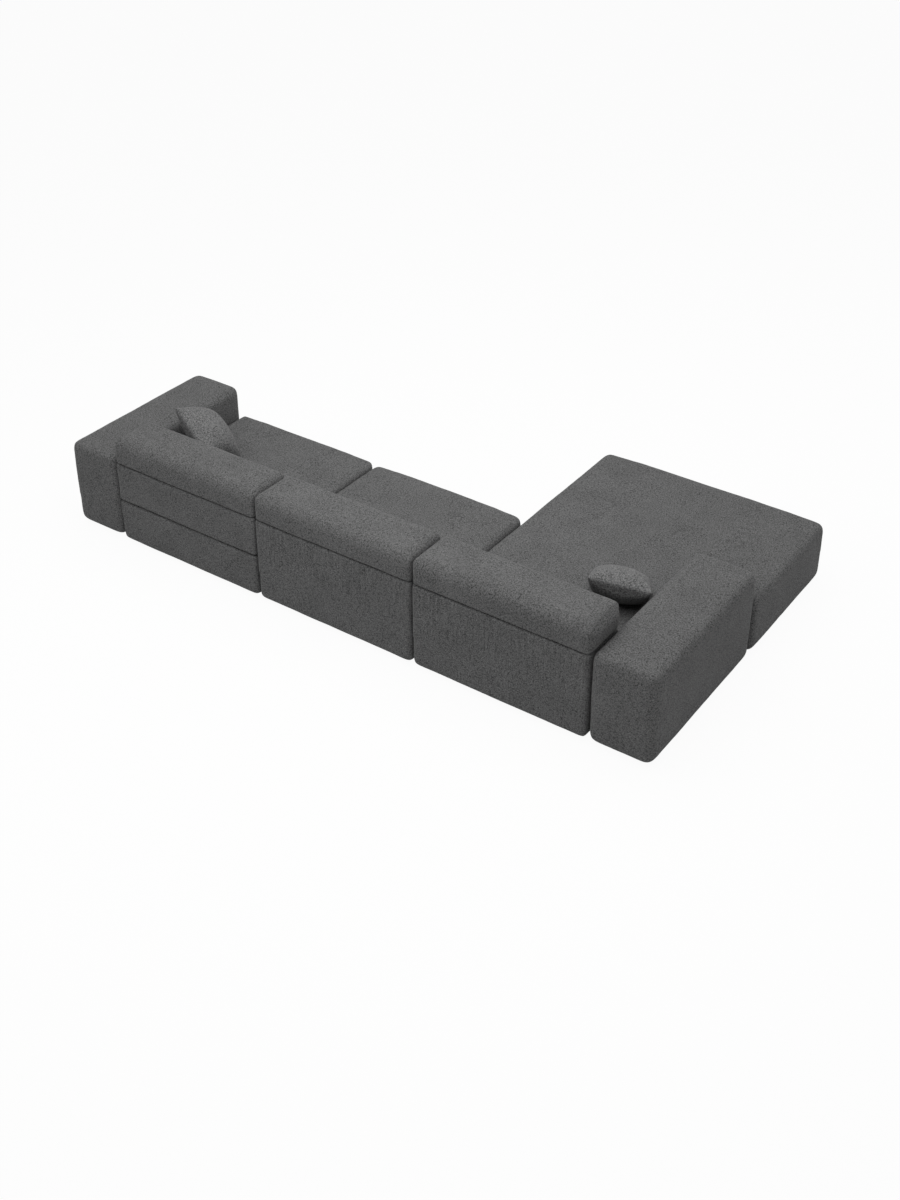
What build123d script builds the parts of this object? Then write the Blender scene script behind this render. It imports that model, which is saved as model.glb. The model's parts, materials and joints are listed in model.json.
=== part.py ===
"""Modular corner sofa with a chaise, folding headrests, one reclining back and two scatter cushions."""
from build123d import *
import math
import os

# Driving sizes in millimetres: X to the sitter's left, Y to the rear, Z up, floor at zero
MODULE_WIDTH = 1100.0
ARM_WIDTH = 380.0
SEAT_LENGTH = 1135.0
CHAISE_LENGTH = 2088.0
BACK_DEPTH = 310.0
BACK_HEIGHT = 737.0
SHOULDER_HEIGHT = 562.0
RECLINE_SEAM_HEIGHT = 303.0
ARM_HEIGHT = 586.0
SEAT_HEIGHT = 388.0
GROUND_GAP = 25.0
MODULE_GAP = 8.0
HEADREST_SEAM = 3.0
RECLINE_SEAM = 3.5

# Swell of the padded tops and roundness of the padded edges
ARM_CROWN = 9.0
SEAT_CROWN = 16.0
HEADREST_CROWN = 8.0
ARM_CORNER_R = 46.0
ARM_TOP_R = 46.0
ARM_LOW_R = 44.0
SEAT_CORNER_R = 40.0
SEAT_TOP_R = 40.0
BACK_CORNER_R = 22.0
BACK_TOP_R = 10.0
BLOCK_LOW_R = 32.0
BASE_TOP_R = 10.0
HEADREST_CORNER_R = 34.0
HEADREST_END_R = 50.0
HEADREST_REAR_R = 84.0
HEADREST_FRONT_R = 58.0
HEADREST_LOW_R = 9.0
HEADREST_BULLNOSE_R = 50.0
RECLINE_EDGE_R = 24.0

# Padding, timber and plywood
PADDING = 46.0
SHOULDER_PADDING = 30.0
RAIL = 28.0
PLY = 18.0
SEAT_FRAME_HEIGHT = 190.0
BACK_RAIL_HEIGHT = 110.0
DUST_SHEET = 1.5
WEBBING_THICKNESS = 2.0
WEBBING_WIDTH = 50.0
BACK_STRAP_COUNT = 6
SEAT_STRAP_COUNT = 9
CHAISE_STRAP_COUNT = 12

# Feet and their bolts
FOOT_TOP_R = 32.0
FOOT_LOW_R = 27.0
GLIDE_R = 25.0
GLIDE_THICKNESS = 3.0
FOOT_INSET = 150.0
FOOT_BLOCK = 90.0
FOOT_BLOCK_HEIGHT = 50.0
FOOT_BOLT_LENGTH = 62.0
FOOT_BOLT_START = 9.0
BOLT_R = 4.0
BOLT_CLEARANCE = 0.2

# Steel hinges of the headrests and of the reclining back
HINGE_INSET = 230.0
RECLINE_HINGE_INSET = 150.0
RECLINE_AXIS_INSET = 22.0
RECLINE_REACH = 170.0
HEADREST_ANGLE = 50.0
SWEEP_STEPS = 4
PLATE = 4.0
PLATE_GAP = 0.5
PLATE_FOOT = 50.0
PLATE_ROOM = 1.5
EYE_R = 18.0
PIN_R = 5.0
PIN_CLEARANCE = 0.05
PIN_HEAD_R = 9.0
PIN_HEAD = 3.0
BRACKET_REACH = 190.0
HINGE_ARM_REACH = 130.0
HEADREST_BOARD = 12.0
HEADREST_RIB = 30.0
HEADREST_FRAME_INSET = 60.0
SCREW_R = 2.5
SCREW_HEAD_R = 5.0
SCREW_HEAD = 2.5
SCREW_LENGTH = 16.0
SCREW_PITCH = 24.0
SCREW_CLEARANCE = 0.1

# Bolts and link plates between the modules
JOINT_BOLT_HEIGHT = 140.0
JOINT_BOLT_INSET = 330.0
BOLT_HEAD_R = 9.0
BOLT_HEAD = 5.0
LINK_PLATE = 4.0
LINK_NECK = 16.0
LINK_HEAD = 36.0
LINK_HEAD_LENGTH = 16.0
LINK_NECK_REACH = 22.0
LINK_MARGIN = 16.0
LINK_CLEARANCE = 0.5

# Scatter cushions: how thick their seam is and how far their sides draw in
CUSHION_SEAM = 8.0
CUSHION_DRAW_IN = 0.06
CUSHION_SECTIONS = 9
LEFT_CUSHION_SIDE = 397.0
LEFT_CUSHION_THICKNESS = 206.0
LEFT_CUSHION_FROM_ARM = 243.0
LEFT_CUSHION_FROM_BACK = 257.0
LEFT_CUSHION_ABOVE_SEAT = 196.5
LEFT_CUSHION_LEAN = 43.9
LEFT_CUSHION_FACING = -52.1
LEFT_CUSHION_SPIN = 43.6
RIGHT_CUSHION_SIDE = 376.0
RIGHT_CUSHION_THICKNESS = 182.0
RIGHT_CUSHION_FROM_ARM = 208.5
RIGHT_CUSHION_FROM_BACK = 371.0
RIGHT_CUSHION_ABOVE_SEAT = 127.2
RIGHT_CUSHION_LEAN = 34.0
RIGHT_CUSHION_FACING = 10.7
RIGHT_CUSHION_SPIN = 12.7

# Planes worked out from the sizes
REAR = CHAISE_LENGTH / 2
CHAISE_FRONT = -CHAISE_LENGTH / 2
SEAT_FRONT = REAR - SEAT_LENGTH
BACK_FRONT = REAR - BACK_DEPTH
HALF_GAP = MODULE_GAP / 2
SEAT_REAR = BACK_FRONT - HALF_GAP
ARM_INNER = MODULE_WIDTH * 1.5
ARM_OUTER = ARM_INNER + ARM_WIDTH
SEAT_TOP = SEAT_HEIGHT + SEAT_CROWN
FRAME_LOW = GROUND_GAP + DUST_SHEET
SEAT_FRAME_TOP = FRAME_LOW + SEAT_FRAME_HEIGHT
SEAT_CAVITY_TOP = SEAT_FRAME_TOP + WEBBING_THICKNESS
BACK_CAVITY_TOP = SHOULDER_HEIGHT - SHOULDER_PADDING
HEADREST_LOW = SHOULDER_HEIGHT + HEADREST_SEAM
HEADREST_AXIS = (BACK_FRONT + HEADREST_BULLNOSE_R, HEADREST_LOW + HEADREST_BULLNOSE_R)
RECLINE_LOW = RECLINE_SEAM_HEIGHT + RECLINE_SEAM
RECLINE_AXIS = (REAR - RECLINE_AXIS_INSET, RECLINE_LOW + RECLINE_AXIS_INSET)
SHEET_Z = (GROUND_GAP, FRAME_LOW)
RAILS_Z = (FRAME_LOW, SEAT_FRAME_TOP)
STRAP_Z = (SEAT_FRAME_TOP, SEAT_CAVITY_TOP)
TIE_Z = (FRAME_LOW, FRAME_LOW + FOOT_BLOCK_HEIGHT)
HEAD_ROOM = PIN_HEAD + 2 * PLATE_GAP
JOINT_BOLT_Y = (SEAT_FRONT + JOINT_BOLT_INSET, SEAT_REAR - JOINT_BOLT_INSET / 2)
MODULES = {
    "left": (MODULE_WIDTH / 2 + HALF_GAP, MODULE_WIDTH * 1.5 - HALF_GAP),
    "middle": (-MODULE_WIDTH / 2 + HALF_GAP, MODULE_WIDTH / 2 - HALF_GAP),
    "right": (-MODULE_WIDTH * 1.5 + HALF_GAP, -MODULE_WIDTH / 2 - HALF_GAP),
}
ARMS = {"left": (ARM_INNER + HALF_GAP, ARM_OUTER), "right": (-ARM_OUTER, -ARM_INNER - HALF_GAP)}
SEAT_NODES = {"left": "left_seat", "middle": "middle_seat", "right": "chaise"}
CHAISE_WIDE_X = (-ARM_OUTER, MODULES["right"][1])
CHAISE_WIDE_Y = (CHAISE_FRONT, SEAT_FRONT - MODULE_GAP)

nodes = {}
feet = []


def block(x, y, z):
    """Plain box between three pairs of planes."""
    size = [high - low for low, high in (x, y, z)]
    middle = [(high + low) / 2 for low, high in (x, y, z)]
    return Pos(*middle) * Box(*size)


def inset(span, amount):
    """Span drawn in at both ends."""
    return (span[0] + amount, span[1] - amount)


def around(middle, width):
    """Span of a given width about a middle."""
    return (middle - width / 2, middle + width / 2)


def centre(span):
    """Middle of a span."""
    return (span[0] + span[1]) / 2


def spread(span, count):
    """Evenly spaced places inside a span."""
    step = (span[1] - span[0]) / count
    return [span[0] + step * (place + 0.5) for place in range(count)]


def fuse(shapes):
    """Join a list of shapes into one."""
    whole = shapes[0]
    for shape in shapes[1:]:
        whole = whole + shape
    return whole


def cut(shape, tools):
    """Take a list of tools away from a shape."""
    for tool in tools:
        shape = shape - tool
    return shape


def group(shapes):
    """Keep a list of pieces as separate solids of one node."""
    return Compound(children=[solid for shape in shapes for solid in shape.solids()])


def along_x(face, x):
    """Carry a section drawn in Y and Z between two X planes."""
    return extrude(Plane.YZ.offset(x[0]) * face, amount=x[1] - x[0])


def along_y(face, y):
    """Carry a section drawn in X and Z between two Y planes."""
    return extrude(Plane.XZ.offset(-y[1]) * face, amount=y[1] - y[0])


def along_z(face, z):
    """Carry a plan between two heights."""
    return extrude(Plane.XY.offset(z[0]) * face, amount=z[1] - z[0])


def outline(u, v, radii, crown=0.0):
    """Upright section, its corners rounded from low left anticlockwise, with a top that swells by crown."""
    corners = [(u[0], v[0]), (u[1], v[0]), (u[1], v[1]), (u[0], v[1])]
    sides = Polyline(corners[3], corners[0], corners[1], corners[2])
    if crown:
        top = ThreePointArc(corners[2], (centre(u), v[1] + crown), corners[3])
    else:
        top = Line(corners[2], corners[3])
    face = make_face([sides, top])
    for corner, radius in zip(corners, radii):
        if radius:
            face = fillet(face.vertices().sort_by_distance((*corner, 0))[0], radius)
    return face


def plan(x, y, radius):
    """Rectangular plan with rounded corners."""
    return Pos(centre(x), centre(y)) * RectangleRounded(x[1] - x[0], y[1] - y[0], radius)


def padded(shape_plan, front, side, x, y, z):
    """Padded form where a plan, a front view and a side view cross."""
    return along_z(shape_plan, z) & along_y(front, y) & along_x(side, x)


def rail_ring(x, y):
    """Ring of timber rails at seat frame height."""
    return block(x, y, RAILS_Z) - block(inset(x, RAIL), inset(y, RAIL), RAILS_Z)


def foot_places(x, y):
    """Four foot centres inside an outline."""
    return [(px, py) for px in inset(x, FOOT_INSET) for py in inset(y, FOOT_INSET)]


def foot_timber(places, tie_x):
    """A block over each foot, tied across to the rails on both sides."""
    blocks = [block(around(x, FOOT_BLOCK), around(y, FOOT_BLOCK), TIE_Z) for x, y in places]
    ties = [block(tie_x, around(y, RAIL), TIE_Z) for y in sorted({y for x, y in places})]
    return blocks + ties


def foot_holes(places):
    """Holes for the foot bolts."""
    hole = Cylinder(BOLT_R + BOLT_CLEARANCE, FOOT_BOLT_LENGTH + 2 * BOLT_CLEARANCE)
    return [Pos(x, y, FOOT_BOLT_START + FOOT_BOLT_LENGTH / 2) * hole for x, y in places]


def bolt(start, direction, length):
    """Hexagon bolt whose head bears at start."""
    plane = Plane(origin=start, z_dir=direction)
    shank = Pos(0, 0, length / 2) * Cylinder(BOLT_R, length)
    head = extrude(RegularPolygon(BOLT_HEAD_R, 6), amount=-BOLT_HEAD)
    return plane * (shank + head)


def bolt_hole(start, direction, length):
    """Hole that a bolt passes through."""
    plane = Plane(origin=start, z_dir=direction)
    return plane * Pos(0, 0, length / 2) * Cylinder(BOLT_R + BOLT_CLEARANCE, length)


def screw(start, direction):
    """Flanged wood screw whose head bears at start."""
    plane = Plane(origin=start, z_dir=direction)
    shank = Pos(0, 0, SCREW_LENGTH / 2) * Cylinder(SCREW_R, SCREW_LENGTH)
    head = Pos(0, 0, -SCREW_HEAD / 2) * Cylinder(SCREW_HEAD_R, SCREW_HEAD)
    return plane * (shank + head)


def screw_hole(start, direction):
    """Hole that a screw fills."""
    plane = Plane(origin=start, z_dir=direction)
    length = SCREW_LENGTH + SCREW_CLEARANCE
    return plane * Pos(0, 0, length / 2) * Cylinder(SCREW_R + SCREW_CLEARANCE, length)


def hull_face(axis, foot_y, foot_z, grow=0.0):
    """Side view of a hinge plate: a round eye and a square foot, with the straight tangents between."""
    eye = Pos(*axis) * Circle(EYE_R + grow)
    foot = Pos(centre(foot_y), centre(foot_z)) * Rectangle(
        foot_y[1] - foot_y[0] + 2 * grow, foot_z[1] - foot_z[0] + 2 * grow)
    return make_hull([*eye.edges(), *foot.edges()])


def hinge_plate(x, axis, foot_y, foot_z):
    """Flat steel plate drilled for its pin."""
    bore = Pos(*axis) * Circle(PIN_R + PIN_CLEARANCE)
    return along_x(hull_face(axis, foot_y, foot_z) - bore, x)


def hinge_pin(x, axis):
    """Pivot pin with a head at each end of its span."""
    heads = [Pos(end, *axis) * Rot(0, 90, 0) * Cylinder(PIN_HEAD_R, PIN_HEAD)
             for end in (x[0] - PIN_HEAD / 2, x[1] + PIN_HEAD / 2)]
    shank = Pos(centre(x), *axis) * Rot(0, 90, 0) * Cylinder(PIN_R, x[1] - x[0])
    return fuse([shank, *heads])


def swept_room(x, axis, foot_y, foot_z, angle):
    """Space that a fixed plate needs inside a piece that turns about the plate's eye."""
    room = along_x(hull_face(axis, foot_y, foot_z, PLATE_ROOM), x)
    pivot = Axis((0, *axis), (1, 0, 0))
    turns = [room.rotate(pivot, -angle * step / SWEEP_STEPS) for step in range(SWEEP_STEPS + 1)]
    return fuse(turns)


def foot_spots(foot_y, foot_z):
    """Screw places on a hinge plate's foot."""
    return [(centre(foot_y) + step * SCREW_PITCH, centre(foot_z)) for step in (-0.5, 0.5)]


def make_arms():
    """Plywood box frames inside padded covers."""
    y = (SEAT_FRONT, REAR)
    z = (GROUND_GAP, ARM_HEIGHT + ARM_CROWN)
    radii = (ARM_LOW_R, ARM_LOW_R, ARM_TOP_R, ARM_TOP_R)
    sheets = []
    bolts = []
    for side, x in ARMS.items():
        front = outline(x, (GROUND_GAP, ARM_HEIGHT), radii, ARM_CROWN)
        cover = padded(plan(x, y, ARM_CORNER_R), front, outline(y, z, radii), x, y, z)
        cavity_x = inset(x, PADDING)
        cavity_y = inset(y, PADDING)
        top = ARM_HEIGHT - PADDING
        places = [(centre(x), place) for place in inset(y, FOOT_INSET)]
        feet.extend(places)
        frame = block(cavity_x, cavity_y, (FRAME_LOW, top))
        frame = frame - block(inset(cavity_x, PLY), inset(cavity_y, PLY), (FRAME_LOW, top - PLY))
        frame = fuse([frame, *foot_timber(places, cavity_x)])
        sheet = block(cavity_x, cavity_y, SHEET_Z)
        inward = -1 if side == "left" else 1
        start_x = -inward * (ARM_INNER + HALF_GAP + PADDING + PLY)
        length = PLY + 2 * PADDING + 2 * HALF_GAP + RAIL
        holes = []
        for place in JOINT_BOLT_Y:
            start = (start_x, place, JOINT_BOLT_HEIGHT)
            bolts.append(bolt(start, (inward, 0, 0), length))
            holes.append(bolt_hole(start, (inward, 0, 0), length))
        arm_holes[side] = holes
        cover = cover - block(cavity_x, cavity_y, (GROUND_GAP, top))
        nodes[side + "_arm_upholstery"] = cut(cover, holes)
        nodes[side + "_arm_frame"] = cut(frame, holes + foot_holes(places))
        sheets.append(cut(sheet, foot_holes(places)))
    nodes["arm_dust_covers"] = group(sheets)
    nodes["arm_bolts"] = group(bolts)


def seat_cover(name):
    """Padded block of one seat, before its hollow."""
    x = MODULES[name]
    y = (CHAISE_FRONT if name == "right" else SEAT_FRONT, SEAT_REAR)
    z = (GROUND_GAP, SEAT_TOP)
    wide = CHAISE_WIDE_X if name == "right" else x
    shape = plan(x, y, SEAT_CORNER_R)
    if name == "right":
        shape = shape + plan(CHAISE_WIDE_X, CHAISE_WIDE_Y, SEAT_CORNER_R)
    radii = (BLOCK_LOW_R, BLOCK_LOW_R, SEAT_TOP_R, SEAT_TOP_R)
    front = outline(wide, (GROUND_GAP, SEAT_HEIGHT), radii, SEAT_CROWN)
    side = outline(y, z, (BLOCK_LOW_R, 0, 0, SEAT_TOP_R))
    cover = padded(shape, front, side, wide, y, z)
    if name == "left":
        base_y = (SEAT_FRONT, REAR)
        base_z = (GROUND_GAP, RECLINE_SEAM_HEIGHT)
        low_front = outline(x, base_z, (BLOCK_LOW_R, BLOCK_LOW_R, BASE_TOP_R, BASE_TOP_R))
        low_side = outline(base_y, base_z, (BLOCK_LOW_R, BLOCK_LOW_R, BASE_TOP_R, 0))
        base = padded(plan(x, base_y, BACK_CORNER_R), low_front, low_side, x, base_y, base_z)
        cover = cover + (base & block(x, (SEAT_REAR - SEAT_CORNER_R, REAR), base_z))
    return cover


def seat_cavities(name):
    """Plan rectangles of the hollow that a seat's frame fills."""
    x = inset(MODULES[name], PADDING)
    if name == "right":
        return [(x, inset((CHAISE_FRONT, SEAT_REAR), PADDING)),
                (inset(CHAISE_WIDE_X, PADDING), inset(CHAISE_WIDE_Y, PADDING))]
    rear = REAR if name == "left" else SEAT_REAR
    return [(x, inset((SEAT_FRONT, rear), PADDING))]


def seat_foot_places(name):
    """Foot centres of one seat."""
    x = MODULES[name]
    if name != "right":
        return foot_places(x, (SEAT_FRONT, REAR if name == "left" else SEAT_REAR))
    rear = [(px, SEAT_REAR - FOOT_INSET) for px in inset(x, FOOT_INSET)]
    return foot_places(CHAISE_WIDE_X, CHAISE_WIDE_Y) + rear


def seat_frame(name, cavities, places):
    """Rails round the hollow, rails across it and foot timber."""
    x, y = cavities[0]
    strap_y = inset((SEAT_FRONT, SEAT_REAR), PADDING)
    pieces = [rail_ring(x, y)]
    if name == "left":
        pieces.append(block(x, (strap_y[1] - RAIL, strap_y[1]), RAILS_Z))
        for place in inset(MODULES["left"], RECLINE_HINGE_INSET):
            face = place - PLATE / 2
            pieces.append(block((face - PLY, face), (y[1] - PLATE_FOOT - RAIL, y[1]), RAILS_Z))
    if name == "right":
        wide_x, wide_y = cavities[1]
        pieces[0] = pieces[0] - block(inset(wide_x, RAIL), inset(wide_y, RAIL), RAILS_Z)
        pieces.append(rail_ring(wide_x, wide_y))
        pieces.append(block(x, (strap_y[0], strap_y[0] + RAIL), RAILS_Z))
        front = [place for place in places if place[1] < SEAT_FRONT]
        pieces.extend(foot_timber(front, wide_x))
        places = [place for place in places if place[1] > SEAT_FRONT]
    pieces.extend(foot_timber(places, x))
    return fuse(pieces)


def make_seats():
    """Railed frames with webbing straps inside one padded block each."""
    for name, node in SEAT_NODES.items():
        cavities = seat_cavities(name)
        places = seat_foot_places(name)
        feet.extend(places)
        hollow = [block(x, y, (GROUND_GAP, SEAT_CAVITY_TOP)) for x, y in cavities]
        holes = arm_holes.get(name, []) + back_holes.get(name, [])
        cover = cut(seat_cover(name), hollow + holes)
        frame = cut(seat_frame(name, cavities, places), holes + foot_holes(places))
        if name == "left":
            cover = cut(cover, recline_base_rooms)
            frame = cut(frame, recline_base_holes)
        sheet = fuse([block(x, y, SHEET_Z) for x, y in cavities])
        zones = [(cavities[0][0], inset((SEAT_FRONT, SEAT_REAR), PADDING), SEAT_STRAP_COUNT)]
        if name == "right":
            zones.append((*cavities[1], CHAISE_STRAP_COUNT))
        straps = [block(around(place, WEBBING_WIDTH), zone_y, STRAP_Z)
                  for zone_x, zone_y, count in zones for place in spread(zone_x, count)]
        nodes[node + "_upholstery"] = cover
        nodes[node + "_frame"] = cut(frame, link_holes)
        nodes[node + "_webbing"] = group(straps)
        nodes[node + "_dust_cover"] = cut(sheet, foot_holes(places) + link_holes)


def back_frame(name, x, y, z):
    """Plywood ribs at the ends and beside each hinge, between boards, with a rail along the low front."""
    hinges = inset(MODULES[name], HINGE_INSET)
    starts = [x[0], x[1] - PLY, *(place + PLATE / 2 for place in hinges)]
    if name == "left":
        starts.extend(place + PLATE * 1.5 + PLATE_GAP for place in inset(MODULES[name], RECLINE_HINGE_INSET))
    pieces = [block((start, start + PLY), y, z) for start in starts]
    pieces.append(block(x, y, (z[0], z[0] + PLY)))
    pieces.append(block(x, y, (z[1] - PLY, z[1])))
    pieces.append(block(x, (y[0], y[0] + PLY), (z[0], z[0] + BACK_RAIL_HEIGHT)))
    return fuse(pieces)


def headrest_bracket_places(name):
    """Fixed plate and moving arm spans of each headrest hinge, along X."""
    spans = []
    for place in inset(MODULES[name], HINGE_INSET):
        plate_x = around(place, PLATE)
        spans.append((plate_x, (plate_x[0] - PLATE_GAP - PLATE, plate_x[0] - PLATE_GAP)))
    return spans


def bracket_foot():
    """Foot of a headrest bracket, inside the back's frame."""
    low_y = BACK_FRONT + PADDING + WEBBING_THICKNESS + SCREW_HEAD_R
    low_z = HEADREST_AXIS[1] - BRACKET_REACH
    return (low_y, low_y + PLATE_FOOT), (low_z, low_z + PLATE_FOOT)


def make_backs():
    """Ribbed frames with webbing, padded covers, and the headrests' fixed brackets."""
    y = (BACK_FRONT, REAR)
    foot_y, foot_z = bracket_foot()
    for name, x in MODULES.items():
        reclines = name == "left"
        z = (RECLINE_LOW if reclines else GROUND_GAP, SHOULDER_HEIGHT)
        low_r = RECLINE_EDGE_R if reclines else BLOCK_LOW_R
        front = outline(x, z, (low_r, low_r, BACK_TOP_R, BACK_TOP_R))
        side = outline(y, z, (BACK_TOP_R, low_r, BACK_TOP_R, BACK_TOP_R))
        cover = padded(plan(x, y, BACK_CORNER_R), front, side, x, y, z)
        cavity_x = inset(x, PADDING)
        cavity_y = inset(y, PADDING)
        cavity_z = (z[0], BACK_CAVITY_TOP)
        frame_y = (cavity_y[0] + WEBBING_THICKNESS, cavity_y[1])
        frame = back_frame(name, cavity_x, frame_y, cavity_z)
        straps = [block(around(place, WEBBING_WIDTH), (cavity_y[0], frame_y[0]), cavity_z)
                  for place in spread(cavity_x, BACK_STRAP_COUNT)]
        brackets = []
        pins = []
        screws = []
        rooms = []
        for plate_x, arm_x in headrest_bracket_places(name):
            plate = hinge_plate(plate_x, HEADREST_AXIS, foot_y, foot_z)
            starts = [(plate_x[0], *spot) for spot in foot_spots(foot_y, foot_z)]
            holes = [screw_hole(start, (1, 0, 0)) for start in starts]
            brackets.append(cut(plate, holes))
            screws.extend(screw(start, (1, 0, 0)) for start in starts)
            frame = cut(frame, holes)
            pins.append(hinge_pin((arm_x[0] - PLATE_GAP, plate_x[1]), HEADREST_AXIS))
            rooms.append(along_x(hull_face(HEADREST_AXIS, foot_y, foot_z, PLATE_GAP),
                                 (plate_x[0] - PLATE_GAP, plate_x[1])))
        holes = back_holes.get(name, [])
        cover = cut(cover - block(cavity_x, cavity_y, cavity_z), rooms + holes)
        frame = cut(frame, rooms + holes)
        if reclines:
            cover = cut(cover, recline_back_rooms)
            frame = cut(frame, recline_back_holes)
            nodes["left_back_screws"] = group(screws + recline_back_screws)
        else:
            places = [(place, centre(y)) for place in inset(x, FOOT_INSET)]
            feet.extend(places)
            block_z = (z[0], z[0] + FOOT_BLOCK_HEIGHT)
            blocks = [block(around(px, FOOT_BLOCK), around(py, FOOT_BLOCK), block_z) for px, py in places]
            frame = cut(fuse([frame, *blocks]), foot_holes(places))
            fixed_screws.extend(screws)
        nodes[name + "_back_upholstery"] = cover
        nodes[name + "_back_frame"] = frame
        nodes[name + "_back_webbing"] = group(straps)
        nodes[name + "_headrest_brackets"] = group(brackets)
        nodes[name + "_headrest_pins"] = group(pins)
    nodes["hinge_screws"] = group(fixed_screws)


def make_headrests():
    """Padded caps over a plywood frame that the moving hinge arms carry."""
    y = (BACK_FRONT, REAR)
    z = (HEADREST_LOW, BACK_HEIGHT)
    axis_y, axis_z = HEADREST_AXIS
    foot_y, foot_z = bracket_foot()
    arm_foot_y = (axis_y + HINGE_ARM_REACH - PLATE_FOOT, axis_y + HINGE_ARM_REACH)
    arm_foot_z = (axis_z - EYE_R, axis_z + EYE_R)
    frame_y = (axis_y + EYE_R + PLATE_ROOM, REAR - PADDING)
    board_z = (arm_foot_z[1], arm_foot_z[1] + HEADREST_BOARD)
    for name, x in MODULES.items():
        front = outline(x, (z[0], z[1] - HEADREST_CROWN),
                        (HEADREST_LOW_R, HEADREST_LOW_R, HEADREST_END_R, HEADREST_END_R), HEADREST_CROWN)
        side = outline(y, z, (HEADREST_BULLNOSE_R, HEADREST_LOW_R, HEADREST_REAR_R, HEADREST_FRONT_R))
        cover = padded(plan(x, y, HEADREST_CORNER_R), front, side, x, y, z)
        frame = [block(inset(x, HEADREST_FRAME_INSET), frame_y, board_z)]
        arms = []
        screws = []
        rooms = []
        holes = []
        for plate_x, arm_x in headrest_bracket_places(name):
            rib_x = (arm_x[0] - HEADREST_RIB, arm_x[0])
            frame.append(block(rib_x, frame_y, (arm_foot_z[0], board_z[1])))
            starts = [(arm_x[1], *spot) for spot in foot_spots(arm_foot_y, arm_foot_z)]
            arm_screw_holes = [screw_hole(start, (-1, 0, 0)) for start in starts]
            holes.extend(arm_screw_holes)
            screws.extend(screw(start, (-1, 0, 0)) for start in starts)
            plate = hinge_plate(arm_x, HEADREST_AXIS, arm_foot_y, arm_foot_z)
            arms.append(cut(plate, arm_screw_holes))
            arm_room_x = (arm_x[0] - HEAD_ROOM, arm_x[1] + SCREW_HEAD + PLATE_GAP)
            rooms.append(along_x(hull_face(HEADREST_AXIS, arm_foot_y, arm_foot_z, PLATE_ROOM), arm_room_x))
            slit_x = (plate_x[0] - PLATE_GAP, plate_x[1] + HEAD_ROOM)
            rooms.append(swept_room(slit_x, HEADREST_AXIS, foot_y, foot_z, HEADREST_ANGLE))
        frame = fuse(frame)
        nodes[name + "_headrest_upholstery"] = cut(cover - frame, rooms)
        nodes[name + "_headrest_frame"] = cut(frame, holes)
        nodes[name + "_headrest_arms"] = group(arms)
        nodes[name + "_headrest_screws"] = group(screws)


def make_recline_hinges():
    """Hinges at the left back's low rear edge: brackets on the base, arms on the back."""
    foot_y = (REAR - PADDING - PLATE_FOOT, REAR - PADDING)
    low_z = (RECLINE_AXIS[1] - RECLINE_REACH, RECLINE_AXIS[1] - RECLINE_REACH + PLATE_FOOT)
    high_z = (RECLINE_AXIS[1] + RECLINE_REACH - PLATE_FOOT, RECLINE_AXIS[1] + RECLINE_REACH)
    brackets = []
    arms = []
    pins = []
    for place in inset(MODULES["left"], RECLINE_HINGE_INSET):
        plate_x = around(place, PLATE)
        arm_x = (plate_x[1] + PLATE_GAP, plate_x[1] + PLATE_GAP + PLATE)
        room_x = (plate_x[0] - HEAD_ROOM, arm_x[1] + HEAD_ROOM)
        low_starts = [(plate_x[1], *spot) for spot in foot_spots(foot_y, low_z)]
        high_starts = [(arm_x[0], *spot) for spot in foot_spots(foot_y, high_z)]
        low_holes = [screw_hole(start, (-1, 0, 0)) for start in low_starts]
        high_holes = [screw_hole(start, (1, 0, 0)) for start in high_starts]
        brackets.append(cut(hinge_plate(plate_x, RECLINE_AXIS, foot_y, low_z), low_holes))
        arms.append(cut(hinge_plate(arm_x, RECLINE_AXIS, foot_y, high_z), high_holes))
        pins.append(hinge_pin((plate_x[0], arm_x[1] + PLATE_GAP), RECLINE_AXIS))
        fixed_screws.extend(screw(start, (-1, 0, 0)) for start in low_starts)
        notch = hull_face(RECLINE_AXIS, foot_y, low_z, PLATE_GAP)
        recline_base_holes.append(along_x(notch, (plate_x[0], plate_x[1] + SCREW_HEAD + PLATE_GAP)))
        recline_back_screws.extend(screw(start, (1, 0, 0)) for start in high_starts)
        recline_base_holes.extend(low_holes)
        recline_back_holes.extend(high_holes)
        recline_base_rooms.append(along_x(hull_face(RECLINE_AXIS, foot_y, low_z, PLATE_ROOM), room_x))
        room_y = (foot_y[1] - PLATE_ROOM, RECLINE_AXIS[0] + EYE_R + PLATE_ROOM)
        recline_back_rooms.append(block(room_x, room_y, (RECLINE_SEAM_HEIGHT, high_z[1] + PLATE_ROOM)))
        slot_y = (RECLINE_AXIS[0] - 2 * EYE_R, foot_y[1])
        slot_x = (plate_x[0] - PLATE_ROOM, arm_x[1])
        recline_back_holes.append(block(slot_x, slot_y, (RECLINE_LOW, RECLINE_LOW + PLY)))
    nodes["recline_brackets"] = group(brackets)
    nodes["recline_arms"] = group(arms)
    nodes["recline_pins"] = group(pins)


def make_back_bolts():
    """Bolts from the fixed backs' low rails into the seats' rear rails."""
    start_y = BACK_FRONT + PADDING + WEBBING_THICKNESS + PLY
    length = start_y - (SEAT_REAR - PADDING - RAIL)
    bolts = []
    for name in ("middle", "right"):
        holes = []
        for place in inset(MODULES[name], JOINT_BOLT_INSET):
            start = (place, start_y, JOINT_BOLT_HEIGHT)
            bolts.append(bolt(start, (0, -1, 0), length))
            holes.append(bolt_hole(start, (0, -1, 0), length))
        back_holes[name] = holes
    nodes["back_bolts"] = group(bolts)


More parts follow.
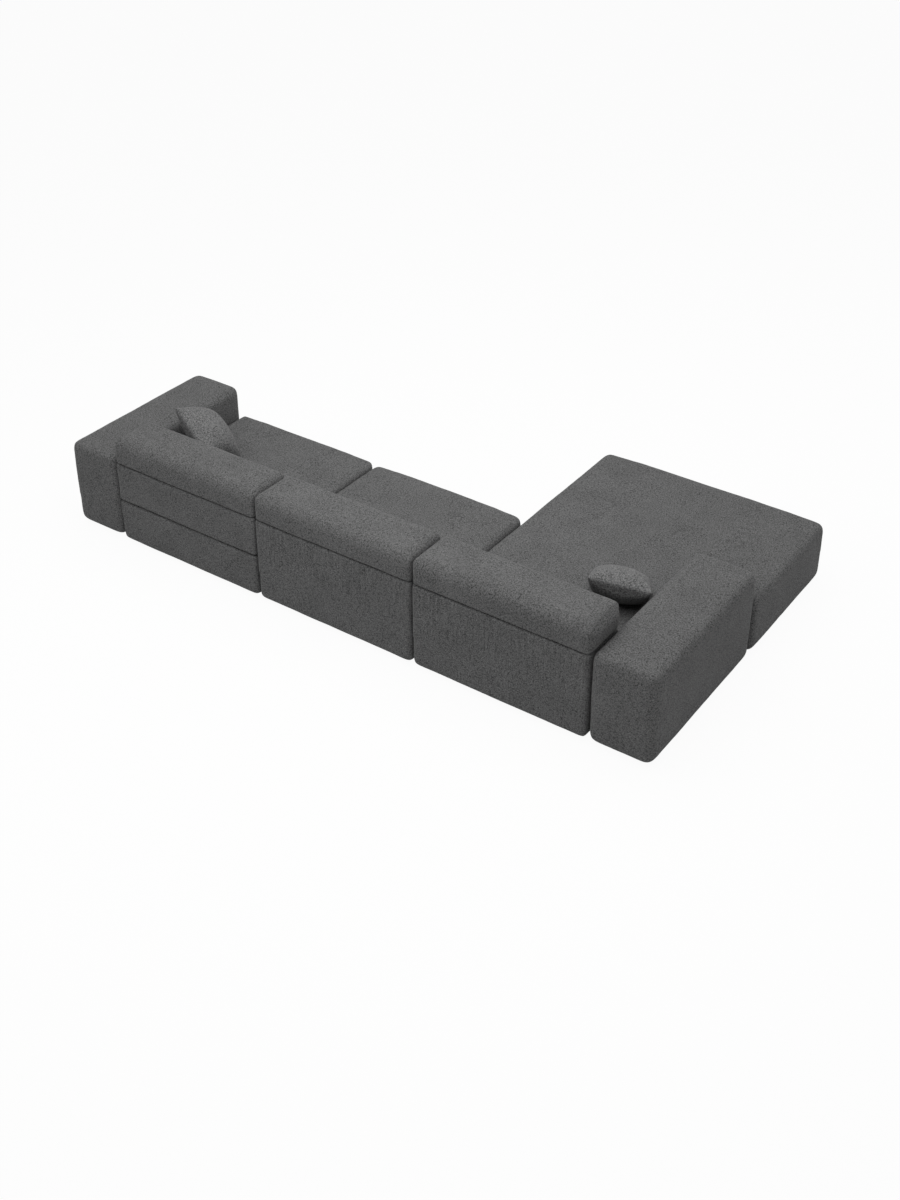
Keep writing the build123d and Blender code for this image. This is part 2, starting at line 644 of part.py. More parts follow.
def make_links():
    """Hook plates and socket plates under the seats that lock each module to the next."""
    z = (GROUND_GAP - LINK_PLATE, GROUND_GAP)
    rail_middle = HALF_GAP + PADDING + RAIL / 2
    tail = rail_middle + RAIL / 2 + LINK_MARGIN
    half_head = LINK_HEAD / 2
    neck_end = LINK_NECK_REACH + HALF_GAP
    head_end = neck_end + LINK_HEAD_LENGTH
    loose = LINK_CLEARANCE
    hooks = []
    sockets = []
    screws = []
    for boundary in (MODULE_WIDTH / 2, -MODULE_WIDTH / 2):
        for y in JOINT_BOLT_Y:
            hook = block((boundary, boundary + tail), around(y, LINK_HEAD), z)
            hook = hook + block((boundary - neck_end, boundary), around(y, LINK_NECK), z)
            hook = hook + block((boundary - head_end, boundary - neck_end), around(y, LINK_HEAD), z)
            socket_x = (boundary - tail, boundary - HALF_GAP)
            socket = block(socket_x, around(y, 2 * LINK_HEAD), z)
            socket = socket - block((boundary - neck_end, boundary), around(y, LINK_NECK + 2 * loose), z)
            pocket_x = (boundary - head_end - loose, boundary - neck_end + loose)
            socket = socket - block(pocket_x, around(y, LINK_HEAD + 2 * loose), z)
            starts = [(boundary + rail_middle, y, z[0]), (boundary - rail_middle, y - half_head, z[0]),
                      (boundary - rail_middle, y + half_head, z[0])]
            holes = [screw_hole(start, (0, 0, 1)) for start in starts]
            link_holes.extend(holes)
            hooks.append(cut(hook, holes[:1]))
            sockets.append(cut(socket, holes[1:]))
            screws.extend(screw(start, (0, 0, 1)) for start in starts)
    nodes["link_hooks"] = group(hooks)
    nodes["link_sockets"] = group(sockets)
    nodes["link_screws"] = group(screws)


def make_feet():
    """Tapered feet with felt glides, each on a bolt."""
    height = GROUND_GAP - GLIDE_THICKNESS
    foot = Pos(0, 0, GLIDE_THICKNESS + height / 2) * Cone(FOOT_LOW_R, FOOT_TOP_R, height)
    glide = Pos(0, 0, GLIDE_THICKNESS / 2) * Cylinder(GLIDE_R, GLIDE_THICKNESS)
    stud = Pos(0, 0, FOOT_BOLT_START + FOOT_BOLT_LENGTH / 2) * Cylinder(BOLT_R, FOOT_BOLT_LENGTH)
    drilled = foot - foot_holes([(0, 0)])[0]
    nodes["feet"] = group([Pos(x, y, 0) * drilled for x, y in feet])
    nodes["foot_glides"] = group([Pos(x, y, 0) * glide for x, y in feet])
    nodes["foot_bolts"] = group([Pos(x, y, 0) * stud for x, y in feet])


def cushion(side, thickness):
    """Stuffed square cushion lying flat: crowned faces, a thin seam and drawn-in sides."""
    sections = []
    for step in range(CUSHION_SECTIONS):
        share = -math.cos(math.pi * step / (CUSHION_SECTIONS - 1))
        swell = math.sqrt(max(0.0, 1 - share ** 2))
        half = side / 2 * (1 - CUSHION_DRAW_IN * (1 - share ** 2))
        seam = CUSHION_SEAM / 2
        rise = seam + (thickness / 2 - seam) * swell + CUSHION_SEAM / 4
        upper = ThreePointArc((-half, seam), (0, rise), (half, seam))
        lower = ThreePointArc((half, -seam), (0, -rise), (-half, -seam))
        ends = [Line((half, seam), (half, -seam)), Line((-half, -seam), (-half, seam))]
        face = make_face([upper, ends[0], lower, ends[1]])
        sections.append(Plane.YZ.offset(share * side / 2) * face)
    body = loft(sections)
    half = side / 2
    drawn = half * (1 - CUSHION_DRAW_IN)
    near = ThreePointArc((-half, half), (-drawn, 0), (-half, -half))
    far = ThreePointArc((half, -half), (drawn, 0), (half, half))
    trim = make_face([near, Line((-half, -half), (half, -half)), far, Line((half, half), (-half, half))])
    return body & along_z(trim, (-thickness, thickness))


def posed(facing, lean, spin):
    """Turn of a cushion: spun on its face, leaned back, then faced about the vertical."""
    return Rot(0, 0, facing) * Rot(lean, 0, 0) * Rot(0, 0, spin)


def make_cushions():
    """Two loose cushions that lean in the corners by the arms."""
    left = Pos(ARM_INNER - LEFT_CUSHION_FROM_ARM, BACK_FRONT - LEFT_CUSHION_FROM_BACK,
               SEAT_TOP + LEFT_CUSHION_ABOVE_SEAT)
    left = left * posed(LEFT_CUSHION_FACING, LEFT_CUSHION_LEAN, LEFT_CUSHION_SPIN)
    right = Pos(RIGHT_CUSHION_FROM_ARM - ARM_INNER, BACK_FRONT - RIGHT_CUSHION_FROM_BACK,
                SEAT_TOP + RIGHT_CUSHION_ABOVE_SEAT)
    right = right * posed(RIGHT_CUSHION_FACING, RIGHT_CUSHION_LEAN, RIGHT_CUSHION_SPIN)
    nodes["left_scatter_cushion"] = left * cushion(LEFT_CUSHION_SIDE, LEFT_CUSHION_THICKNESS)
    nodes["right_scatter_cushion"] = right * cushion(RIGHT_CUSHION_SIDE, RIGHT_CUSHION_THICKNESS)


arm_holes = {}
back_holes = {}
link_holes = []
recline_base_rooms = []
recline_base_holes = []
recline_back_rooms = []
recline_back_holes = []
recline_back_screws = []
fixed_screws = []
make_arms()
make_back_bolts()
make_recline_hinges()
make_links()
make_seats()
make_backs()
make_headrests()
make_feet()
make_cushions()

os.makedirs("parts", exist_ok=True)
for node, shape in nodes.items():
    export_step(shape, "parts/" + node + ".step")
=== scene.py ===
"""Corner sofa in looped grey cloth: padded covers over the sofa's frame, seen from behind and above."""
import json
import math
import bmesh
import bpy
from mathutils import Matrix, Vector, noise


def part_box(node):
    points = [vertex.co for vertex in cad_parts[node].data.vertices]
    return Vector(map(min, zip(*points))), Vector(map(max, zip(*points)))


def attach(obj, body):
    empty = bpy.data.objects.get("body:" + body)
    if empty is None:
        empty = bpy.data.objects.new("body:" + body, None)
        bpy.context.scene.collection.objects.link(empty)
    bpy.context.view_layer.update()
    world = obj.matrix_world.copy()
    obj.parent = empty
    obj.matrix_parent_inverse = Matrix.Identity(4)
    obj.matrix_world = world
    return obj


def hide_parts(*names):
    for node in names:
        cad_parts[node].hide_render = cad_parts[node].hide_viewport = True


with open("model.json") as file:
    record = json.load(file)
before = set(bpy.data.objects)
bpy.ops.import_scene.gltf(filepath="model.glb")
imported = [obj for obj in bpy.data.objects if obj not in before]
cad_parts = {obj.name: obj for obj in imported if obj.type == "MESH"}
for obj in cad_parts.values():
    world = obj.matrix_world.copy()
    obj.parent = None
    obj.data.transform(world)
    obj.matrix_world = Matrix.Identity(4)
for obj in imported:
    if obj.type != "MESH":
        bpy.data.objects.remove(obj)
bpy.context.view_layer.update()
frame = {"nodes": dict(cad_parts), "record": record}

MM = 0.001
WHITE = (1.0, 1.0, 1.0, 1.0)

# Camera of the photograph: place in metres, turn about the vertical and tip below the horizon in degrees,
# focal length and optical centre in the photograph's pixels
IMAGE_HEIGHT = 1200
CAMERA_PLACE = (-4.613, 6.483, 5.311)
CAMERA_TURN = 214.972
CAMERA_TIP = 29.783
FOCAL_PIXELS = 1557.2
OPTICAL_CENTRE_Y = 442.4
SENSOR_MM = 36.0

# Studio: a big soft lamp overhead, a weak one from the front, an even surround and a white floor
LAMP_PLACE = (0.0, 0.9, 4.6)
LAMP_SIZE = 6.0
LAMP_WATTS = 226.0
FRONT_LAMP_PLACE = (-3.5, -4.5, 3.0)
FRONT_LAMP_SIZE = 3.0
FRONT_LAMP_WATTS = 25.0
SURROUND_LEVEL = 0.39
FLOOR_SIZE = 30.0
FLOOR_PAINT = "#E6E6E6"
FLOOR_GLOW_SHARE = 0.95

# Boucle of the covers and the coarser one of the cushions: dark and light of the pile, loop and tuft in mm
COVER_PILE = ("#393939", "#7B7B7B", 5.5, 9.0)
CUSHION_PILE = ("#424242", "#8A8A8A", 6.5, 11.0)

# How far each pattern takes the pile from dark, which is 0, to light, which is 1; loop tops get painted
# light and the hollows between loops painted shade
LOOP_TOP_PAINTED_LIGHT = 0.82
LOOP_HOLLOW_PAINTED_SHADE = 0.04
TUFT_SHIFT = 0.3
PATCH_SHIFT = 0.05
PATCH_MM = 160.0
PILE_DEPTH_MM = 3.0
PILE_FUZZ = "#C4C4C4"

# Upright lines in the pile of the middle and right backs: strength, spacing, how far they are drawn out,
# and the heights in metres between which they come up
STREAK_SHIFT = 0.12
STREAK_MM = 12.0
STREAK_DRAW = 0.06
STREAK_START = 0.28
STREAK_FULL = 0.34

# Finishes of the frame: size of each pattern, depth of its relief, and how far wood grain is drawn out
WOOD_GRAIN_MM = 9.0
WOOD_GRAIN_DRAW = 0.06
WOOD_RELIEF_MM = 0.4
ZINC_BLOOM_MM = 6.0
PLASTIC_BLACK = "#161616"
PLASTIC_GRAIN_MM = 1.5
PLASTIC_RELIEF_MM = 0.2

# Foam covers: mesh spacing, passes of softening, and how full and uneven the stuffing is, in metres
COVER_VOXEL = 0.009
RELAX_SHARE = 0.5
BLOCK_SOFTENING = 30
BACK_SOFTENING = 4
LOW_SOFTENING = 14
LOW_HEIGHT = 0.22
BLOCK_FULLNESS = 0.0018
BACK_FULLNESS = 0.0006
UNEVEN_WIDE = 0.0020
UNEVEN_WIDE_PER_M = 4.0
UNEVEN_FINE = 0.0007
UNEVEN_FINE_PER_M = 17.0

# Chaise: depth of the two ends that give its form, gap in front of the right arm, and how far the seat
# beside the arm runs on into the wide front
CHAISE_END = 0.1
CHAISE_ARM_GAP = 0.008
CHAISE_LAP = 0.5

# Fill over the seam below the left back, and the swell of the right headrest's end with its narrowing
SEAM_FILL = 0.0025
END_BULGE = 0.018
END_NARROWING = (1.0, 0.85, 0.6)

# Scatter cushions: mesh spacing, how much smaller they start, how far and how hard the filling may push
# them, frames of the simulation, and passes of softening
CUSHION_VOXEL = 0.006
CUSHION_START = 0.985
CUSHION_PUSH = 0.008
CUSHION_PRESSURE = 4.0
CUSHION_FRAMES = 20
CUSHION_SOFTENING = 18
MERGE_MM = 0.05


def linear(code):
    """Linear colour of an sRGB hex value."""
    shares = [int(code[place:place + 2], 16) / 255 for place in (1, 3, 5)]
    levels = [share / 12.92 if share <= 0.04045 else ((share + 0.055) / 1.055) ** 2.4 for share in shares]
    return (*levels, 1.0)


def per_metre(millimetres):
    """Texture scale that repeats a pattern at a real size."""
    return 1000.0 / millimetres


def add(tree, kind, sockets=None, **settings):
    """Adds a node, sets its properties, and sets or links its input sockets."""
    node = tree.nodes.new(kind)
    for name, value in settings.items():
        setattr(node, name, value)
    for name, value in (sockets or {}).items():
        if isinstance(value, bpy.types.NodeSocket):
            tree.links.new(value, node.inputs[name])
        else:
            node.inputs[name].default_value = value
    return node


def new_material(name):
    """Empty node material and its tree."""
    material = bpy.data.materials.new(name)
    material.use_nodes = True
    material.node_tree.nodes.clear()
    return material, material.node_tree


def looped_cloth(name, dark, light, loop_mm, tuft_mm, streaks=0.0):
    """Boucle, a knitted pile of loops: dull, with painted light on the loop tops and painted shade in the
    hollows between them, mottled at random, with a pale fuzz along its edges.
    """
    material, tree = new_material(name)
    place = add(tree, "ShaderNodeTexCoord").outputs["Object"]
    # Real loops are about 4 mm; they are drawn coarser so that they show in the picture
    loops = add(tree, "ShaderNodeTexVoronoi", {
        "Vector": place, "Scale": per_metre(loop_mm)}, feature="SMOOTH_F1")
    tufts = add(tree, "ShaderNodeTexNoise", {
        "Vector": place, "Scale": per_metre(tuft_mm), "Detail": 5.0, "Roughness": 0.7})
    patches = add(tree, "ShaderNodeTexNoise", {
        "Vector": place, "Scale": per_metre(PATCH_MM), "Detail": 3.0})
    # Painted light on the loop tops and painted shade in the hollows between loops; the same values also
    # raise the pile's relief
    painted_loop_shading = add(tree, "ShaderNodeMapRange", {
        "Value": loops.outputs["Distance"], "From Min": 0.1, "From Max": 0.75,
        "To Min": LOOP_TOP_PAINTED_LIGHT, "To Max": LOOP_HOLLOW_PAINTED_SHADE})
    grain = add(tree, "ShaderNodeMapRange", {
        "Value": tufts.outputs["Fac"], "From Min": 0.3, "From Max": 0.7,
        "To Min": -TUFT_SHIFT, "To Max": TUFT_SHIFT})
    drift = add(tree, "ShaderNodeMapRange", {
        "Value": patches.outputs["Fac"], "From Min": 0.3, "From Max": 0.7,
        "To Min": -PATCH_SHIFT, "To Max": PATCH_SHIFT})
    shade = add(tree, "ShaderNodeMath", {0: painted_loop_shading.outputs["Result"], 1: grain.outputs["Result"]})
    shade = add(tree, "ShaderNodeMath", {0: shade.outputs[0], 1: drift.outputs["Result"]})
    if streaks:
        # The cover is pulled tight over the upper part of the back, where upright lines show in the pile
        height = add(tree, "ShaderNodeSeparateXYZ", {"Vector": place})
        band = add(tree, "ShaderNodeMapRange", {
            "Value": height.outputs["Z"], "From Min": STREAK_START, "From Max": STREAK_FULL,
            "To Min": 0.0, "To Max": streaks})
        stretch = add(tree, "ShaderNodeMapping", {"Vector": place, "Scale": (1.0, 1.0, STREAK_DRAW)})
        lines = add(tree, "ShaderNodeTexNoise", {
            "Vector": stretch.outputs["Vector"], "Scale": per_metre(STREAK_MM), "Detail": 1.0})
        pull = add(tree, "ShaderNodeMapRange", {
            "Value": lines.outputs["Fac"], "From Min": 0.35, "From Max": 0.65,
            "To Min": -1.0, "To Max": 0.6})
        pull = add(tree, "ShaderNodeMath", {
            0: pull.outputs["Result"], 1: band.outputs["Result"]}, operation="MULTIPLY")
        shade = add(tree, "ShaderNodeMath", {0: shade.outputs[0], 1: pull.outputs[0]})
    colour = add(tree, "ShaderNodeMixRGB", {
        "Fac": shade.outputs[0], "Color1": linear(dark), "Color2": linear(light)})
    relief = add(tree, "ShaderNodeBump", {
        "Strength": 0.5, "Distance": PILE_DEPTH_MM * MM, "Height": shade.outputs[0]})
    cloth = add(tree, "ShaderNodeBsdfPrincipled", {
        "Base Color": colour.outputs["Color"], "Normal": relief.outputs["Normal"], "Roughness": 0.95,
        "Specular IOR Level": 0.15, "Sheen Weight": 0.14, "Sheen Roughness": 0.4,
        "Sheen Tint": linear(PILE_FUZZ)})
    add(tree, "ShaderNodeOutputMaterial", {"Surface": cloth.outputs["BSDF"]})
    return material


def sawn_wood(name, dark, light, roughness):
    """Unfinished softwood or plywood: pale, dry and drawn out in fine grain along X."""
    material, tree = new_material(name)
    place = add(tree, "ShaderNodeTexCoord").outputs["Object"]
    along = add(tree, "ShaderNodeMapping", {"Vector": place, "Scale": (WOOD_GRAIN_DRAW, 1.0, 1.0)})
    grain = add(tree, "ShaderNodeTexNoise", {
        "Vector": along.outputs["Vector"], "Scale": per_metre(WOOD_GRAIN_MM),
        "Detail": 4.0, "Distortion": 0.4})
    colour = add(tree, "ShaderNodeMixRGB", {
        "Fac": grain.outputs["Fac"], "Color1": linear(dark), "Color2": linear(light)})
    relief = add(tree, "ShaderNodeBump", {
        "Strength": 0.2, "Distance": WOOD_RELIEF_MM * MM, "Height": grain.outputs["Fac"]})
    wood = add(tree, "ShaderNodeBsdfPrincipled", {
        "Base Color": colour.outputs["Color"], "Normal": relief.outputs["Normal"],
        "Roughness": roughness})
    add(tree, "ShaderNodeOutputMaterial", {"Surface": wood.outputs["BSDF"]})
    return material


def plated_steel(name, dark, light):
    """Zinc-plated pressed steel: softly shiny, with a faint crystalline bloom in its colour and gloss."""
    material, tree = new_material(name)
    place = add(tree, "ShaderNodeTexCoord").outputs["Object"]
    bloom = add(tree, "ShaderNodeTexVoronoi", {"Vector": place, "Scale": per_metre(ZINC_BLOOM_MM)})
    colour = add(tree, "ShaderNodeMixRGB", {
        "Fac": bloom.outputs["Distance"], "Color1": linear(dark), "Color2": linear(light)})
    gloss = add(tree, "ShaderNodeMapRange", {
        "Value": bloom.outputs["Distance"], "To Min": 0.28, "To Max": 0.5})
    steel = add(tree, "ShaderNodeBsdfPrincipled", {
        "Base Color": colour.outputs["Color"], "Metallic": 1.0, "Roughness": gloss.outputs["Result"]})
    add(tree, "ShaderNodeOutputMaterial", {"Surface": steel.outputs["BSDF"]})
    return material


def woven_cloth(name, dark, light, thread_mm):
    """Plain woven or bonded cloth: flat and dull, with threads crossing at a fixed spacing."""
    material, tree = new_material(name)
    place = add(tree, "ShaderNodeTexCoord").outputs["Object"]
    pitch = per_metre(thread_mm * 2 * math.pi)
    warp = add(tree, "ShaderNodeTexWave", {"Vector": place, "Scale": pitch}, bands_direction="X")
    weft = add(tree, "ShaderNodeTexWave", {"Vector": place, "Scale": pitch}, bands_direction="Y")
    weave = add(tree, "ShaderNodeMath", {
        0: warp.outputs["Fac"], 1: weft.outputs["Fac"]}, operation="MULTIPLY")
    colour = add(tree, "ShaderNodeMixRGB", {
        "Fac": weave.outputs[0], "Color1": linear(dark), "Color2": linear(light)})
    cloth = add(tree, "ShaderNodeBsdfPrincipled", {
        "Base Color": colour.outputs["Color"], "Roughness": 0.9, "Specular IOR Level": 0.2})
    add(tree, "ShaderNodeOutputMaterial", {"Surface": cloth.outputs["BSDF"]})
    return material


def moulded_plastic(name):
    """Black moulded polypropylene: nearly matt, with a fine spark-eroded grain."""
    material, tree = new_material(name)
    place = add(tree, "ShaderNodeTexCoord").outputs["Object"]
    grain = add(tree, "ShaderNodeTexNoise", {
        "Vector": place, "Scale": per_metre(PLASTIC_GRAIN_MM), "Detail": 2.0})
    gloss = add(tree, "ShaderNodeMapRange", {
        "Value": grain.outputs["Fac"], "To Min": 0.45, "To Max": 0.65})
    relief = add(tree, "ShaderNodeBump", {
        "Strength": 0.25, "Distance": PLASTIC_RELIEF_MM * MM, "Height": grain.outputs["Fac"]})
    plastic = add(tree, "ShaderNodeBsdfPrincipled", {
        "Base Color": linear(PLASTIC_BLACK), "Roughness": gloss.outputs["Result"],
        "Normal": relief.outputs["Normal"]})
    add(tree, "ShaderNodeOutputMaterial", {"Surface": plastic.outputs["BSDF"]})
    return material


def white_floor(name):
    """Seamless white studio floor that keeps a faint shadow of the sofa."""
    material, tree = new_material(name)
    rays = add(tree, "ShaderNodeLightPath")
    seen = add(tree, "ShaderNodeMath", {
        0: rays.outputs["Is Camera Ray"], 1: FLOOR_GLOW_SHARE}, operation="MULTIPLY")
    paint = add(tree, "ShaderNodeBsdfDiffuse", {"Color": linear(FLOOR_PAINT)})
    glow = add(tree, "ShaderNodeEmission", {"Color": WHITE, "Strength": 1.0})
    both = add(tree, "ShaderNodeMixShader", {
        0: seen.outputs[0], 1: paint.outputs["BSDF"], 2: glow.outputs["Emission"]})
    add(tree, "ShaderNodeOutputMaterial", {"Surface": both.outputs["Shader"]})
    return material


def mesh_object(name, shape):
    """Object at the origin that holds a finished bmesh."""
    mesh = bpy.data.meshes.new(name)
    shape.to_mesh(mesh)
    shape.free()
    piece = bpy.data.objects.new(name, mesh)
    bpy.context.scene.collection.objects.link(piece)
    return piece


def node_points(node):
    """Corner points of a CAD node."""
    return [corner.co.copy() for corner in frame["nodes"][node].data.vertices]


def stretched(points, offset):
    """Points with a moved copy, so that their hull runs on along the offset."""
    return points + [point + Vector(offset) for point in points]


def hull_object(name, clouds):
    """Closed outer skins of one or more clouds of points, in one object."""
    shape = bmesh.new()
    for cloud in clouds:
        corners = [shape.verts.new(point) for point in cloud]
        made = bmesh.ops.convex_hull(shape, input=corners)
        spare = {corner for corner in made["geom_interior"] + made["geom_unused"]
                 if isinstance(corner, bmesh.types.BMVert)}
        bmesh.ops.delete(shape, geom=list(spare), context="VERTS")
    bmesh.ops.recalc_face_normals(shape, faces=shape.faces)
    return mesh_object(name, shape)


def bake(piece):
    """Applies a piece's modifiers to its mesh."""
    graph = bpy.context.evaluated_depsgraph_get()
    mesh = bpy.data.meshes.new_from_object(piece.evaluated_get(graph))
    piece.modifiers.clear()
    piece.data = mesh


def remesh(piece, voxel):
    """Rebuilds a piece as one even closed skin."""
    modifier = piece.modifiers.new("skin", "REMESH")
    modifier.mode = "VOXEL"
    modifier.voxel_size = voxel
    bake(piece)


def relax(shape, corners, passes):
    """Rounds part of a skin by drawing each corner towards its neighbours."""
    for turn in range(passes):
        bmesh.ops.smooth_vert(
            shape, verts=corners, factor=RELAX_SHARE, use_axis_x=True, use_axis_y=True, use_axis_z=True)


def soften(piece, passes, low_passes=0, fullness=0.0, uneven=False):
    """Relaxes the skin, most near the floor, and lets the stuffing fill covers out a little unevenly."""
    shape = bmesh.new()
    shape.from_mesh(piece.data)
    relax(shape, shape.verts, passes)
    relax(shape, [corner for corner in shape.verts if corner.co.z < LOW_HEIGHT], low_passes)
    shape.normal_update()
    if uneven:
        for corner in shape.verts:
            wide = noise.noise(corner.co * UNEVEN_WIDE_PER_M) * UNEVEN_WIDE
            fine = noise.noise(corner.co * UNEVEN_FINE_PER_M) * UNEVEN_FINE
            corner.co += corner.normal * (fullness + wide + fine)
    for face in shape.faces:
        face.smooth = True
    shape.to_mesh(piece.data)
    shape.free()


def dress(piece, node, body, material):
    """Puts a finished cover in its CAD node's place."""
    piece.data.materials.clear()
    piece.data.materials.append(material)
    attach(piece, body)
    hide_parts(node)


def cover(node, body, material, passes, fullness, clouds=None):
    """Padded cover made from the outer form of its CAD solid."""
    piece = hull_object(node + "_padded", clouds or [node_points(node)])
    remesh(piece, COVER_VOXEL)
    soften(piece, passes, LOW_SOFTENING, fullness, uneven=True)
    dress(piece, node, body, material)


def block_cover(node, material, clouds=None):
    """Cover of an arm, the middle seat or the chaise, with soft deep edges."""
    cover(node, "sofa", material, BLOCK_SOFTENING, BLOCK_FULLNESS, clouds)


def back_cover(node, body, material, clouds=None):
    """Cover of a back, a headrest or the left seat with its base, drawn tighter over the frame."""
    cover(node, body, material, BACK_SOFTENING, BACK_FULLNESS, clouds)


def left_seat_clouds():
    """The left seat's block, and the low base that runs on under the reclining back."""
    back_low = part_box("left_back_upholstery")[0]
    points = node_points("left_seat_upholstery")
    seat = [point for point in points if point.y < back_low[1]]
    base = [point for point in points if point.z < back_low[2]]
    return [seat, base]


def chaise_clouds():
    """The chaise's wide front, and the seat that runs back beside the right arm."""
    low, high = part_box("chaise_upholstery")
    arm_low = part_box("right_arm_upholstery")[0]
    points = node_points("chaise_upholstery")
    front = [point for point in points if point.y < low[1] + CHAISE_END]
    rear = [point for point in points if point.y > high[1] - CHAISE_END]
    front_run = arm_low[1] - CHAISE_ARM_GAP - max(point.y for point in front)
    rear_run = arm_low[1] - high[1] - CHAISE_LAP
    return [stretched(front, (0, front_run, 0)), stretched(rear, (0, rear_run, 0))]


def left_back_clouds():
    """The reclining back, filled out downwards so that the seam below it closes up."""
    return [stretched(node_points("left_back_upholstery"), (0, 0, -SEAM_FILL))]


def right_headrest_clouds():
    """The right headrest, with the end by the arm swelling out over the arm."""
    node = "right_headrest_upholstery"
    low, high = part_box(node)
    middle = Vector((low[0] - END_BULGE, (low[1] + high[1]) / 2, (low[2] + high[2]) / 2))
    points = node_points(node)
    end = [Vector((0.0, *(point - middle).yz)) for point in points if point.x < low[0] + MM]
    swell = [middle + point * Vector(END_NARROWING) for point in end]
    return [points + swell]


def inflate(piece):
    """Blows the cushion up like stuffing does, within a small distance of where each point began."""
    start = [corner.co.copy() for corner in piece.data.vertices]
    modifier = piece.modifiers.new("stuffing", "CLOTH")
    modifier.settings.use_pressure = True
    modifier.settings.uniform_pressure_force = CUSHION_PRESSURE
    modifier.settings.effector_weights.gravity = 0.0
    modifier.point_cache.frame_start = 1
    modifier.point_cache.frame_end = CUSHION_FRAMES
    for step in range(1, CUSHION_FRAMES + 1):
        bpy.context.scene.frame_set(step)
    bake(piece)
    bpy.context.scene.frame_set(1)
    for corner, place in zip(piece.data.vertices, start):
        move = corner.co - place
        if move.length > CUSHION_PUSH:
            corner.co = place + move.normalized() * CUSHION_PUSH


def settle(piece, height):
    """Lowers a softened piece until it rests at a height again."""
    drop = min(corner.co.z for corner in piece.data.vertices) - height
    for corner in piece.data.vertices:
        corner.co.z -= drop


def scatter_cushion(node, body, material):
    """Loose stuffed cushion, blown up from its CAD form."""
    shape = bmesh.new()
    shape.from_mesh(frame["nodes"][node].data)
    bmesh.ops.remove_doubles(shape, verts=shape.verts, dist=MERGE_MM * MM)
    low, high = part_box(node)
    middle = (Vector(low) + Vector(high)) / 2
    for corner in shape.verts:
        corner.co = middle + (corner.co - middle) * CUSHION_START
    piece = mesh_object(node + "_padded", shape)
    remesh(piece, CUSHION_VOXEL)
    inflate(piece)
    soften(piece, CUSHION_SOFTENING)
    settle(piece, low[2])
    dress(piece, node, body, material)


def dress_frame(finishes, hinge_steel):
    """Gives each CAD node that stays its material, with darker steel for the recline hinges."""
    for part in frame["record"]["subparts"]:
        material = finishes.get(part["material_slot"])
        if part["node"].startswith("recline_"):
            material = hinge_steel
        if material:
            for place in frame["nodes"][part["node"]].material_slots:
                place.material = material


def soft_lamp(name, place, size, watts):
    """Square soft lamp that faces the middle of the sofa."""
    lamp = bpy.data.lights.new(name, "AREA")
    lamp.size = size
    lamp.energy = watts
    holder = bpy.data.objects.new(name, lamp)
    holder.location = place
    holder.rotation_euler = (-Vector(place)).to_track_quat("-Z", "Y").to_euler()
    bpy.context.scene.collection.objects.link(holder)


def studio():
    """White floor, even surround, two soft lamps and the plain view transform."""
    shape = bmesh.new()
    bmesh.ops.create_grid(shape, x_segments=1, y_segments=1, size=FLOOR_SIZE)
    floor = mesh_object("studio_floor", shape)
    floor.data.materials.append(white_floor("studio_white"))
    world = bpy.data.worlds.new("studio_surround")
    bpy.context.scene.world = world
    world.use_nodes = True
    tree = world.node_tree
    tree.nodes.clear()
    rays = add(tree, "ShaderNodeLightPath")
    seen = add(tree, "ShaderNodeMath", {
        0: rays.outputs["Is Camera Ray"], 1: rays.outputs["Is Glossy Ray"]}, operation="MAXIMUM")
    seen = add(tree, "ShaderNodeMath", {
        0: seen.outputs[0], 1: rays.outputs["Is Transmission Ray"]}, operation="MAXIMUM")
    light = add(tree, "ShaderNodeBackground", {"Color": WHITE, "Strength": SURROUND_LEVEL})
    white = add(tree, "ShaderNodeBackground", {"Color": WHITE, "Strength": 1.0})
    both = add(tree, "ShaderNodeMixShader", {
        0: seen.outputs[0], 1: light.outputs["Background"], 2: white.outputs["Background"]})
    add(tree, "ShaderNodeOutputWorld", {"Surface": both.outputs["Shader"]})
    soft_lamp("overhead_lamp", LAMP_PLACE, LAMP_SIZE, LAMP_WATTS)
    soft_lamp("front_lamp", FRONT_LAMP_PLACE, FRONT_LAMP_SIZE, FRONT_LAMP_WATTS)
    bpy.context.scene.view_settings.view_transform = "Standard"


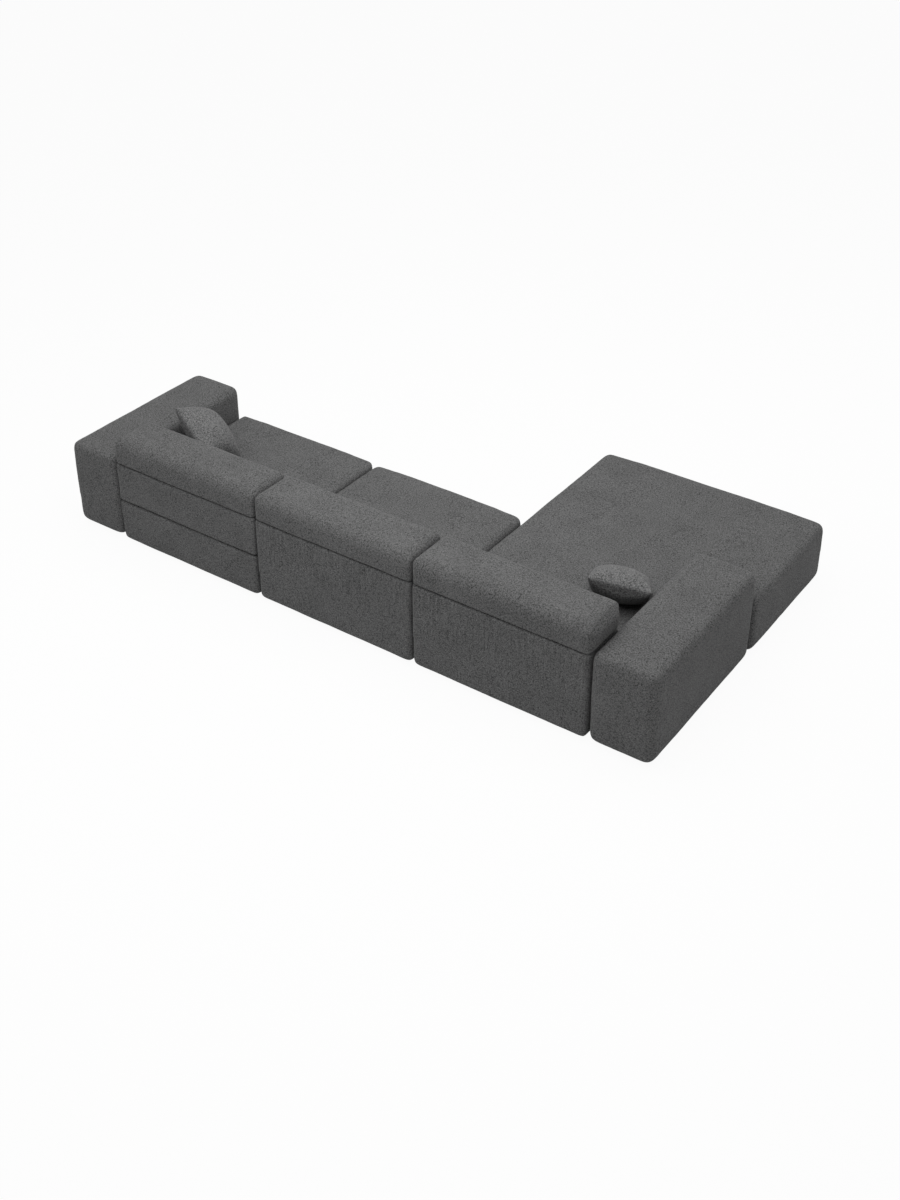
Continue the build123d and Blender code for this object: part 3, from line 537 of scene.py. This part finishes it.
def photo_camera():
    """Camera at the photograph's place and angle."""
    lens = bpy.data.cameras.new("photo_camera")
    lens.sensor_width = SENSOR_MM
    lens.lens = FOCAL_PIXELS * SENSOR_MM / IMAGE_HEIGHT
    lens.shift_y = (OPTICAL_CENTRE_Y - IMAGE_HEIGHT / 2) / IMAGE_HEIGHT
    holder = bpy.data.objects.new("photo_camera", lens)
    holder.location = CAMERA_PLACE
    holder.rotation_euler = (math.radians(90 - CAMERA_TIP), 0.0, math.radians(CAMERA_TURN))
    bpy.context.scene.collection.objects.link(holder)
    bpy.context.scene.camera = holder


photo_camera()
studio()
boucle = looped_cloth("grey_boucle", *COVER_PILE)
back_boucle = looped_cloth("grey_boucle_upright", *COVER_PILE, streaks=STREAK_SHIFT)
cushion_boucle = looped_cloth("grey_boucle_coarse", *CUSHION_PILE)
for side in ("left", "right"):
    block_cover(side + "_arm_upholstery", boucle)
back_cover("left_seat_upholstery", "sofa", boucle, left_seat_clouds())
block_cover("middle_seat_upholstery", boucle)
block_cover("chaise_upholstery", boucle, chaise_clouds())
back_cover("left_back_upholstery", "left_back", boucle, left_back_clouds())
for side in ("middle", "right"):
    back_cover(side + "_back_upholstery", "sofa", back_boucle)
for side in ("left", "middle"):
    back_cover(side + "_headrest_upholstery", side + "_headrest", boucle)
back_cover("right_headrest_upholstery", "right_headrest", boucle, right_headrest_clouds())
for side in ("left", "right"):
    scatter_cushion(side + "_scatter_cushion", side + "_cushion", cushion_boucle)
frame_finishes = {
    "timber": sawn_wood("planed_pine", "#9C7444", "#C7A06B", 0.7),
    "plywood": sawn_wood("birch_plywood", "#A98552", "#CBAA78", 0.65),
    "steel": plated_steel("zinc_plated_steel", "#AEB1B5", "#C6C9CC"),
    "elastic_webbing": woven_cloth("elastic_webbing", "#141414", "#3A3A3A", 2.5),
    "dust_cloth": woven_cloth("spunbond_dust_cloth", "#0C0C0C", "#1E1E1E", 1.2),
    "foot_plastic": moulded_plastic("black_polypropylene"),
    "felt": woven_cloth("pressed_felt", "#2B2B2B", "#444444", 0.8),
}
dress_frame(frame_finishes, plated_steel("black_zinc_plated_steel", "#202123", "#2E2F31"))
